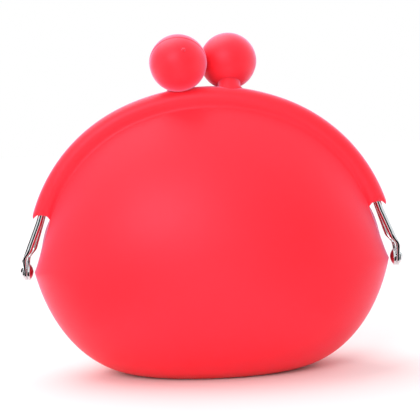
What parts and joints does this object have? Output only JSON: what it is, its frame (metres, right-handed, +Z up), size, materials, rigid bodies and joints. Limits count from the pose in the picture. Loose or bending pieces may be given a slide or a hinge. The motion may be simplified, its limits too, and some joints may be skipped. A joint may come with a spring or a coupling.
{
  "type": "squeeze coin purse",
  "caption": "Rounded silicone coin purse on a hinged arched steel frame, shut by silicone-covered balls that snap past each other.",
  "frame": {"origin": "middle of the flat foot that the purse stands on", "axes": "+X to the viewer's right along the arch, -Y out of the front of the purse, +Z up through the clasp"},
  "size_m": [0.1, 0.046, 0.088],
  "materials": {
    "silicone": "matte moulded silicone, coral red all through",
    "chrome_steel": "bright chrome plate on formed sheet steel",
    "bead_steel": "plain turned steel, hidden in the silicone"
  },
  "bodies": {
    "pouch": {"pouch": "silicone"},
    "front_frame": {"front_wall": "silicone", "front_sleeve": "silicone", "front_ball_cover": "silicone", "front_arch": "chrome_steel", "front_clasp_stud": "chrome_steel", "front_ball_core": "bead_steel"},
    "back_frame": {"back_wall": "silicone", "back_sleeve": "silicone", "back_ball_cover": "silicone", "back_arch": "chrome_steel", "back_clasp_stud": "chrome_steel", "back_ball_core": "bead_steel", "left_rivet": "chrome_steel", "right_rivet": "chrome_steel", "left_washer": "chrome_steel", "right_washer": "chrome_steel"}
  },
  "joints": [
    {"name": "front_open", "type": "hinge", "parent": "pouch", "child": "front_frame", "pos_m": [0, 0, 0.028], "axis": [1, 0, 0], "range_deg": [0, 45], "deforming": ["front_wall", "front_ball_cover"]},
    {"name": "back_open", "type": "hinge", "parent": "pouch", "child": "back_frame", "pos_m": [0, 0, 0.028], "axis": [-1, 0, 0], "range_deg": [0, 45], "deforming": ["back_wall", "back_ball_cover"]}
  ],
  "couplings": [
    {"joint": "back_open", "follows": "front_open", "ratio": 1}
  ]
}
